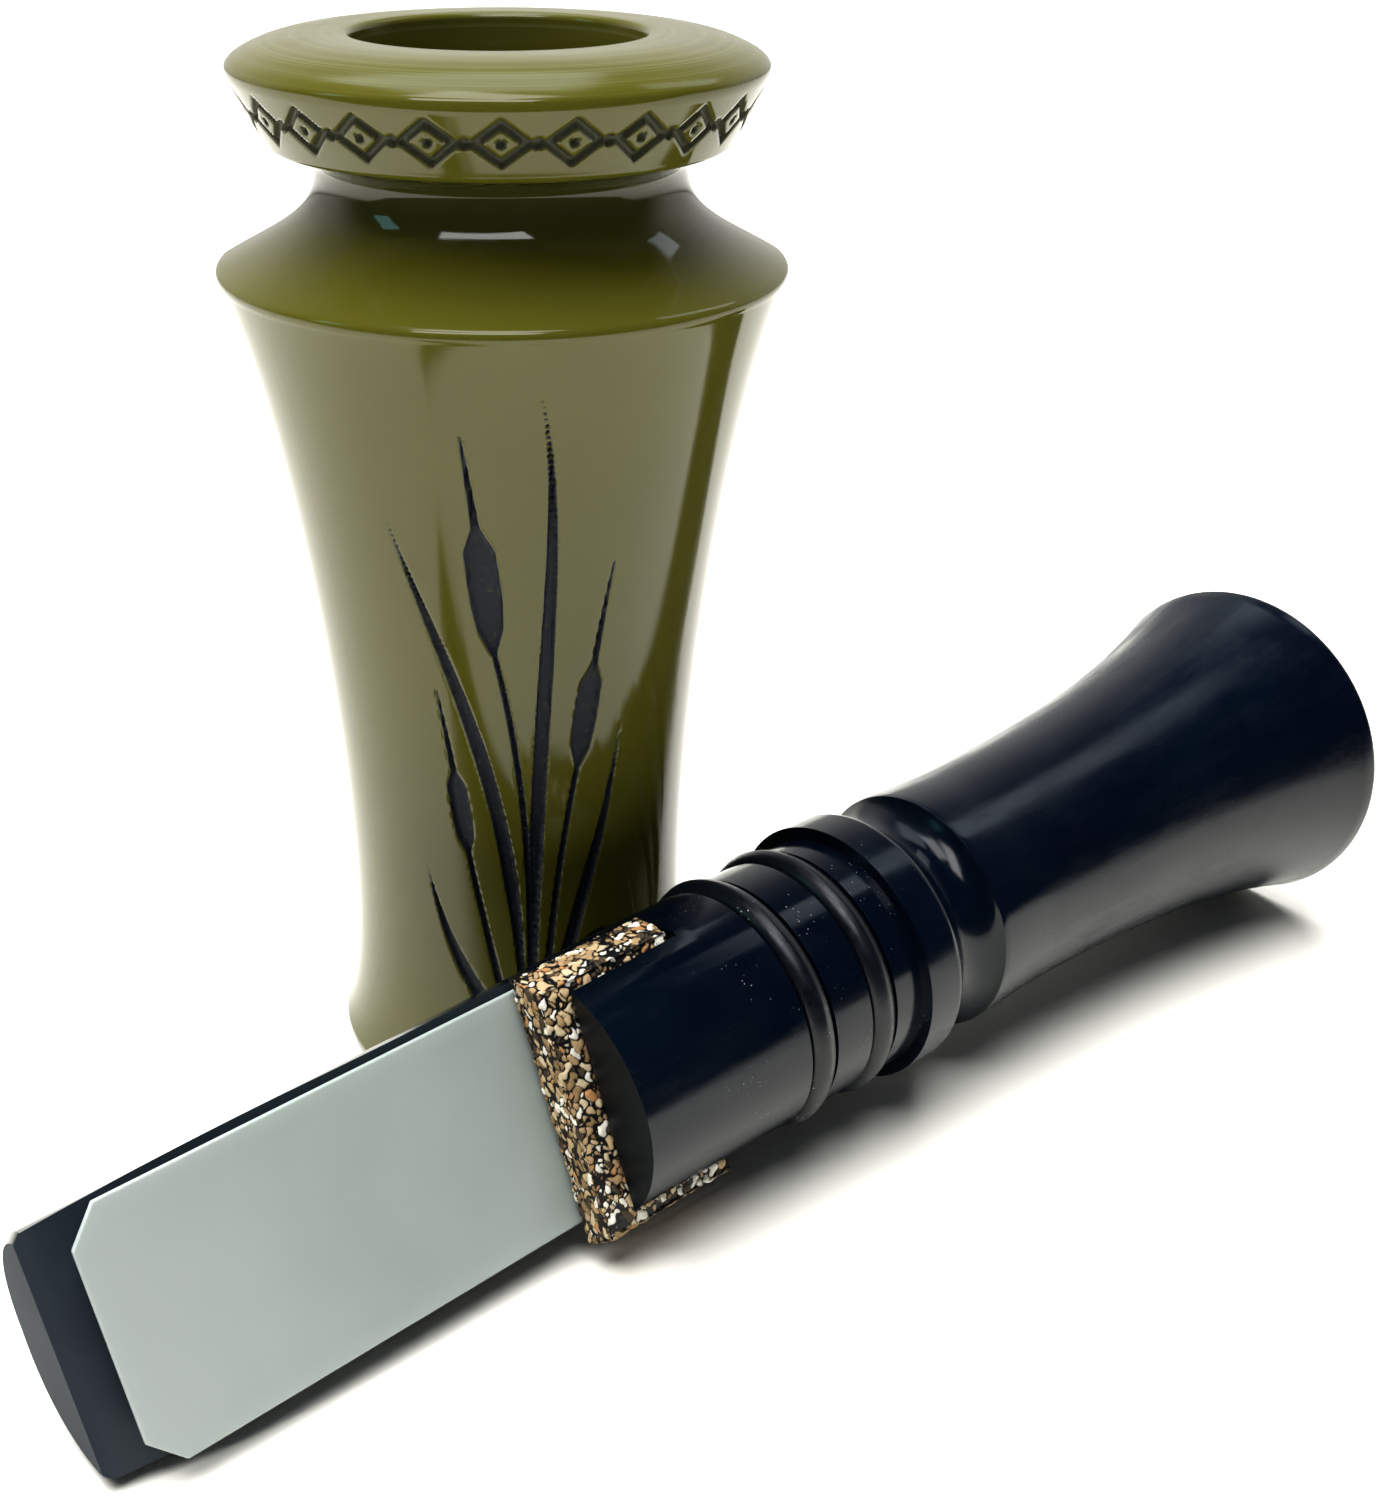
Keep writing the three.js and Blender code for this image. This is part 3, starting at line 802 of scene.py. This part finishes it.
def olive_acrylic():
    """Polished solid acrylic: faint turning lines, cloudy wipe marks, ink in the engraving and painted shade
    in the neck under the band.
    """
    finish = Finish("olive_acrylic", Ior=1.49)
    cloud = finish.noise(0.07, 3)
    colour = finish.blend(finish.spread(cloud, 0.3, 0.7), OLIVE, OLIVE_LIGHT)
    height = finish.axis("Z")
    on_shoulder = finish.spread(height, FLARE_Z, FLARE_Z + 0.6)
    on_band = finish.spread(height, NECK_Z - 0.3, NECK_Z + 0.7)
    on_crown = finish.spread(height, RING_Z + 0.2, RING_Z + 0.8)
    flat = finish.scaled((1, 1, 0))
    radius = finish.node("ShaderNodeVectorMath", {"operation": "LENGTH"}, _0=flat).outputs["Value"]
    circles = finish.node("ShaderNodeCombineXYZ", X=radius, Z=height).outputs["Vector"]
    streaks = finish.spread(finish.noise(4.0, 4, 0.7, circles), 0.48, 0.72)
    streaked = finish.product(finish.product(streaks, on_crown), 0.35)
    colour = finish.blend(streaked, colour, STREAK)
    # Painted shade: the neck under the overhanging band is darkened, standing in for the band's shadow.
    neck_shade_rise = finish.spread(height, NECK_Z - 2.6, NECK_Z - 0.4, 0, 0.62, True)
    neck_shade = finish.product(neck_shade_rise, finish.spread(height, BAND_LOW_Z - 0.1, BAND_LOW_Z - 0.6))
    colour = finish.blend(neck_shade, colour, NECK_PAINTED_SHADE)
    rings = finish.noise(7.0, 4, 0.7, circles)
    wipe = finish.noise(9.0, 5, 0.6, finish.scaled((0.03, 0.03, 0.008)))
    hazy = finish.spread(wipe, 0.35, 0.75, 0.06, 0.15)
    clear = finish.spread(wipe, 0.35, 0.75, 0.03, 0.09)
    satin = finish.spread(wipe, 0.35, 0.75, 0.16, 0.24)
    rough = finish.mixed(on_crown, finish.mixed(on_shoulder, hazy, clear), satin)
    cut = finish.attribute("engraved")
    inked = finish.spread(cut, 0.03, -0.03, 0, 1)
    speckle = finish.noise(2.6, 2)
    ink = finish.blend(on_band, INK, BAND_INK)
    worn = finish.spread(speckle, 0.60, 0.74)
    ink = finish.blend(finish.product(worn, 0.4), ink, OLIVE)
    colour = finish.blend(inked, colour, ink)
    rough = finish.math("ADD", rough, finish.product(inked, 0.5))
    normal = finish.bump(rings, 0.05, 0.00003)
    normal = finish.bump(finish.product(speckle, inked), 0.5, 0.00004, normal)
    return finish.feed(Base_Color=colour, Roughness=rough, Normal=normal)


def specks(finish, scale, size, mask_scale, low, high):
    """Small round specks of dust that gather where a coarser noise is high."""
    cells = finish.node("ShaderNodeTexVoronoi", Vector=finish.places, Scale=scale)
    dots = finish.spread(cells.outputs["Distance"], size, size * 0.6)
    return finish.product(dots, finish.spread(finish.noise(mask_scale, 2), low, high))


BLACK = (0.0004, 0.0024, 0.0078)
BLACK_HAZY = (0.0022, 0.0062, 0.0125)
DUST = (0.24, 0.24, 0.23)


def black_acrylic():
    """Polished black acrylic with handling haze, fine scratches and a little dust by its front ring."""
    finish = Finish("black_acrylic", Ior=1.43)
    haze = finish.noise(0.055, 5, 0.62)
    smear = finish.noise(20, 4, 0.6, finish.scaled((0.006, 0.03, 0.03)))
    rough = finish.spread(finish.product(haze, smear), 0.18, 0.42, 0.07, 0.30)
    scratches = finish.noise(8, 3, 0.7, finish.scaled((2.2, 0.06, 0.06)))
    at = finish.axis("X")
    from_ring = finish.math("ABSOLUTE", finish.math("SUBTRACT", at, ORING_AT[0]))
    dust = specks(finish, 2.6, 0.13, 0.25, 0.52, 0.62)
    dust = finish.product(dust, finish.spread(from_ring, 12, 5))
    colour = finish.blend(finish.spread(haze, 0.4, 0.8), BLACK, BLACK_HAZY)
    colour = finish.blend(dust, colour, DUST)
    rough = finish.math("ADD", rough, finish.product(dust, 0.4))
    rough = finish.math("ADD", rough, finish.spread(at, BEAD_AT, BELL_WAIST_AT + 4, 0, 0.13))
    normal = finish.bump(scratches, 0.05, 0.00003)
    return finish.feed(Base_Color=colour, Roughness=rough, Normal=normal)


SANDED = (0.018, 0.026, 0.036)
SANDED_LIGHT = (0.023, 0.032, 0.043)
STOPPER_FACE = (0.0005, 0.003, 0.006)


def sanded_acrylic():
    """The flat cut faces: filed and sanded black acrylic, duller, slightly grey and dullest at the tip."""
    finish = Finish("sanded_acrylic", Ior=1.49, Specular_IOR_Level=0.32)
    grain = finish.noise(40, 4, 0.7, finish.scaled((0.01, 0.18, 0.18)))
    cloud = finish.noise(0.26, 4)
    colour = finish.blend(finish.spread(cloud, 0.3, 0.7), SANDED, SANDED_LIGHT)
    at = finish.axis("X")
    on_stopper = finish.spread(at, CORK_FRONT, STOPPER_FRONT - 0.5)
    colour = finish.blend(on_stopper, colour, STOPPER_FACE)
    on_tip = finish.spread(at, 1.0, 0.0)
    rough = finish.mixed(on_tip, finish.spread(grain, 0.3, 0.7, 0.36, 0.46), 0.72)
    return finish.feed(Base_Color=colour, Roughness=rough, Normal=finish.bump(grain, 0.12, 0.00004))


RUBBER = (0.002, 0.003, 0.006)
RUBBER_WORN = (0.004, 0.006, 0.01)
RUBBER_DUST = (0.42, 0.40, 0.36)


def black_rubber():
    """Moulded nitrile rubber: satin, finely grained, with a few specks of dust."""
    finish = Finish("black_rubber", Ior=1.5)
    grain = finish.noise(1.5, 3)
    dust = specks(finish, 3.0, 0.16, 0.3, 0.58, 0.66)
    cloud = finish.noise(0.12, 3)
    colour = finish.blend(finish.spread(cloud, 0.3, 0.7), RUBBER, RUBBER_WORN)
    colour = finish.blend(dust, colour, RUBBER_DUST)
    rough = finish.spread(grain, 0.3, 0.7, 0.26, 0.40)
    return finish.feed(Base_Color=colour, Roughness=rough, Normal=finish.bump(grain, 0.15, 0.00003))


FILM = (0.29, 0.33, 0.31)
FILM_LIGHT = (0.325, 0.365, 0.345)
# Painted sheen towards the tip, and painted highlights along the edges.
FILM_TIP_SHEEN = (0.42, 0.455, 0.44)
FILM_BORDER_HIGHLIGHT = (0.38, 0.43, 0.415)
FILM_EDGE_HIGHLIGHT = (0.40, 0.45, 0.44)
MILKY = {"Subsurface_Weight": 0.25, "Subsurface_Scale": 0.0006, "Subsurface_Radius": (1, 1, 1)}


def frosted_film():
    """Milky polyester film: finely frosted, with painted sheen that lightens it towards its tip and painted
    highlights where its edges catch the light.
    """
    finish = Finish("frosted_film", Ior=1.5, **MILKY)
    frost = finish.noise(30, 2, 0.6)
    cloud = finish.noise(0.12, 4, 0.55)
    edge = finish.attribute("edge_gap")
    colour = finish.blend(finish.spread(cloud, 0.3, 0.7), FILM, FILM_LIGHT)
    at = finish.axis("X")
    # Painted sheen: the film is lightened towards its tip.
    colour = finish.blend(finish.spread(at, -12, -28, 0, 0.45, True), colour, FILM_TIP_SHEEN)
    # Painted highlights: the film is lightened near its edges, most of all at the very edge.
    colour = finish.blend(finish.spread(edge, 1.4, 0.0, 0, 0.4, True), colour, FILM_BORDER_HIGHLIGHT)
    colour = finish.blend(finish.spread(edge, 0.13, 0.04, 0, 0.6), colour, FILM_EDGE_HIGHLIGHT)
    rough = finish.spread(frost, 0.3, 0.7, 0.42, 0.52)
    return finish.feed(Base_Color=colour, Roughness=rough, Normal=finish.bump(frost, 0.08, 0.00002))


CORK_SHADES = (
    (0.00, (0.06, 0.045, 0.03)),
    (0.12, (0.28, 0.19, 0.09)),
    (0.26, (0.42, 0.29, 0.15)),
    (0.44, (0.56, 0.42, 0.24)),
    (0.60, (0.48, 0.25, 0.10)),
    (0.68, (0.62, 0.52, 0.34)),
    (0.82, (0.86, 0.83, 0.74)),
)
CORK_FIBRE = (0.12, 0.07, 0.035)
BINDER = (0.004, 0.005, 0.006)


def rubberised_cork():
    """Cork granules from cream to dark brown, in black rubber."""
    finish = Finish("rubberised_cork", Ior=1.45)
    granules = finish.bands(finish.attribute("shade"), CORK_SHADES)
    fibre = finish.noise(2.6, 4, 0.65)
    granules = finish.blend(finish.spread(fibre, 0.4, 0.8, 0, 0.35), granules, CORK_FIBRE)
    ragged = finish.product(fibre, 0.22)
    rubber = finish.spread(finish.math("SUBTRACT", finish.attribute("seam"), ragged), 0.05, -0.01)
    colour = finish.blend(rubber, granules, BINDER)
    rough = finish.spread(rubber, 0, 1, 0.78, 0.5)
    return finish.feed(Base_Color=colour, Roughness=rough, Normal=finish.bump(fibre, 0.5, 0.00006))


barrel(olive_acrylic())
insert_body(black_acrylic(), sanded_acrylic())
rubber = black_rubber()
oring("oring_front_moulded", "oring_front", ORING_AT[0], rubber)
oring("oring_rear_moulded", "oring_rear", ORING_AT[1], rubber)
reed(frosted_film())
cork_wedge(rubberised_cork())

# ---------------------------------------------------------------- camera
# Metres and radians, but the lens and the sensor are in millimetres.
CAMERA_BACK = 0.110146
CAMERA_UP = 0.076551
CAMERA_YAW = 0.0570
CAMERA_PITCH = 0.5443
CAMERA_ROLL = 0.0061
FOCAL_LENGTH = 44.94
SENSOR = 36
SHIFT = (0.0551, 0.0911)
CLIP = (0.005, 20)


def aim_camera():
    """The viewer stands before the barrel and looks down at the two halves."""
    data = bpy.data.cameras.new("camera")
    camera = bpy.data.objects.new("camera", data)
    bpy.context.scene.collection.objects.link(camera)
    bpy.context.scene.camera = camera
    forward = Vector((math.sin(CAMERA_YAW), math.cos(CAMERA_YAW), 0)) * math.cos(CAMERA_PITCH)
    forward.z = -math.sin(CAMERA_PITCH)
    level = Vector((math.cos(CAMERA_YAW), -math.sin(CAMERA_YAW), 0))
    right = level * math.cos(CAMERA_ROLL) + level.cross(forward) * math.sin(CAMERA_ROLL)
    place = barrel_foot + Vector((0, -CAMERA_BACK, CAMERA_UP))
    camera.matrix_world = frame_matrix(right, right.cross(forward), place)
    data.sensor_width = SENSOR
    data.sensor_fit = "AUTO"
    data.lens = FOCAL_LENGTH
    data.shift_x, data.shift_y = SHIFT
    data.clip_start, data.clip_end = CLIP


aim_camera()


# ---------------------------------------------------------------- stage and light, in metres
FLOOR = (0.88, 0.865, 0.80)
FLOOR_LIGHT = (0.91, 0.895, 0.83)
FLOOR_HALF = 1.5
FLOOR_Z = -0.00003
# Painted shade: a dark sheet over the floor near the viewer, standing in for that shaded floor in
# reflections.
SHADE_SHEET_NEAR, SHADE_SHEET_FAR, SHADE_SHEET_HALF = -1.2, -0.075, 1.2
SHADE_SHEET_Z = 0.0005
SHADE_SHEET_DARK = (0.006, 0.008, 0.010, 1)


def level_sheet(name, material, half, near, far, height):
    """A level rectangle of the stage, half wide to each side."""
    mesh = bpy.data.meshes.new(name)
    corners = [(x, y, height) for x, y in ((-half, near), (half, near), (half, far), (-half, far))]
    mesh.from_pydata(corners, [], [(0, 1, 2, 3)])
    mesh.materials.append(material)
    sheet = bpy.data.objects.new(name, mesh)
    bpy.context.scene.collection.objects.link(sheet)
    return sheet


def stage():
    """A wide pale floor."""
    finish = Finish("floor", Ior=1.4, Roughness=0.9)
    cloud = finish.noise(30, 3)
    colour = finish.blend(finish.spread(cloud, 0.3, 0.7), FLOOR, FLOOR_LIGHT)
    finish.feed(Base_Color=colour)
    floor = level_sheet("floor", finish.material, FLOOR_HALF, -FLOOR_HALF, FLOOR_HALF, FLOOR_Z)


def shaded_floor_sheet():
    """Painted shade: a dark sheet on the viewer's side that stands in for the shaded floor there, seen only
    as a reflection in the polished surfaces.
    """
    finish = Finish("shaded_floor_sheet", Base_Color=SHADE_SHEET_DARK, Roughness=1.0)
    shade_sheet = level_sheet("shaded_floor_sheet", finish.material, SHADE_SHEET_HALF, SHADE_SHEET_NEAR, SHADE_SHEET_FAR, SHADE_SHEET_Z)
    shade_sheet.visible_camera = False
    shade_sheet.visible_diffuse = False
    shade_sheet.visible_shadow = False


WHITE, COOL, TEAL = (1, 1, 1), (0.85, 0.94, 1.0), (0.4, 1.0, 1.0)
shoulder = barrel_foot + Vector((0, -FLARE_R, FLARE_Z)) * MM
# Lamps that only show in reflections: place, width, height, radiance and colour. They face the
# front of the barrel's shoulder.
REFLECTIONS = {
    "window": (shoulder + Vector((-0.10, -0.38, 0.61)), 0.54, 0.24, 5.5, WHITE),
    "window_behind": (shoulder + Vector((-0.05, 0.32, 0.6)), 0.40, 0.42, 1.6, COOL),
    "window_right": (shoulder + Vector((0.45, 0.36, 0.6)), 0.22, 0.3, 1.3, COOL),
    "ceiling": (shoulder + Vector((-0.05, -0.06, 0.7)), 0.4, 0.3, 4.2, WHITE),
    "side_window": ((-0.5, -0.1, 0.32), 0.11, 0.2, 1.6, TEAL),
}


def panel(name, centre, width, height, radiance, colour, target):
    """A soft rectangular lamp at centre that faces target."""
    data = bpy.data.lights.new(name, "AREA")
    data.shape = "RECTANGLE"
    data.size, data.size_y = width, height
    data.energy = radiance * math.pi * width * height
    data.color = colour
    lamp = bpy.data.objects.new(name, data)
    bpy.context.scene.collection.objects.link(lamp)
    lamp.location = centre
    lamp.rotation_mode = "QUATERNION"
    lamp.rotation_quaternion = (Vector(target) - Vector(centre)).to_track_quat("-Z", "Y")
    return lamp


stage()
shaded_floor_sheet()
key = panel("key", (-0.16, 0.03, 0.9), 0.9, 0.9, 8.7, WHITE, (0, 0, 0))
key.visible_glossy = False
for name, values in REFLECTIONS.items():
    panel(name, *values, shoulder).visible_diffuse = False

ROOM_DARK = (0.02, 0.026, 0.036)
ROOM_GLOW = (0.70, 0.69, 0.66)
BACKDROP = (0.80, 0.80, 0.78)
# Where the room's glow grows from none to full, for a unit direction: along Y, and down along Z.
GLOW_BEHIND = (0.0, 0.5)
GLOW_LOW = (0.9, 0.25)


def room():
    """A plain pale backdrop, in a dark room that only lights the object and shows in its polish."""
    world = bpy.data.worlds.new("room")
    bpy.context.scene.world = world
    world.use_nodes = True
    nodes, link = world.node_tree.nodes, world.node_tree.links.new

    def mix(amount, first, second):
        made = nodes.new("ShaderNodeMix")
        made.data_type = "RGBA"
        link(amount, made.inputs[0])
        if isinstance(first, bpy.types.NodeSocket):
            link(first, made.inputs[6])
        else:
            made.inputs[6].default_value = (*first, 1)
        made.inputs[7].default_value = (*second, 1)
        return made.outputs[2]

    direction = nodes.new("ShaderNodeSeparateXYZ")
    link(nodes.new("ShaderNodeTexCoord").outputs["Generated"], direction.inputs[0])
    glow = nodes.new("ShaderNodeMath")
    glow.operation = "MULTIPLY"
    for index, (axis, (start, end)) in enumerate((("Y", GLOW_BEHIND), ("Z", GLOW_LOW))):
        node = nodes.new("ShaderNodeMapRange")
        node.interpolation_type = "SMOOTHSTEP"
        node.inputs["From Min"].default_value = start
        node.inputs["From Max"].default_value = end
        link(direction.outputs[axis], node.inputs["Value"])
        link(node.outputs["Result"], glow.inputs[index])
    around = mix(glow.outputs[0], ROOM_DARK, ROOM_GLOW)
    seen = nodes.new("ShaderNodeLightPath").outputs["Is Camera Ray"]
    link(mix(seen, around, BACKDROP), nodes["Background"].inputs["Color"])


room()
bpy.context.scene.view_settings.view_transform = "Standard"
bpy.context.scene.view_settings.look = "Medium High Contrast"
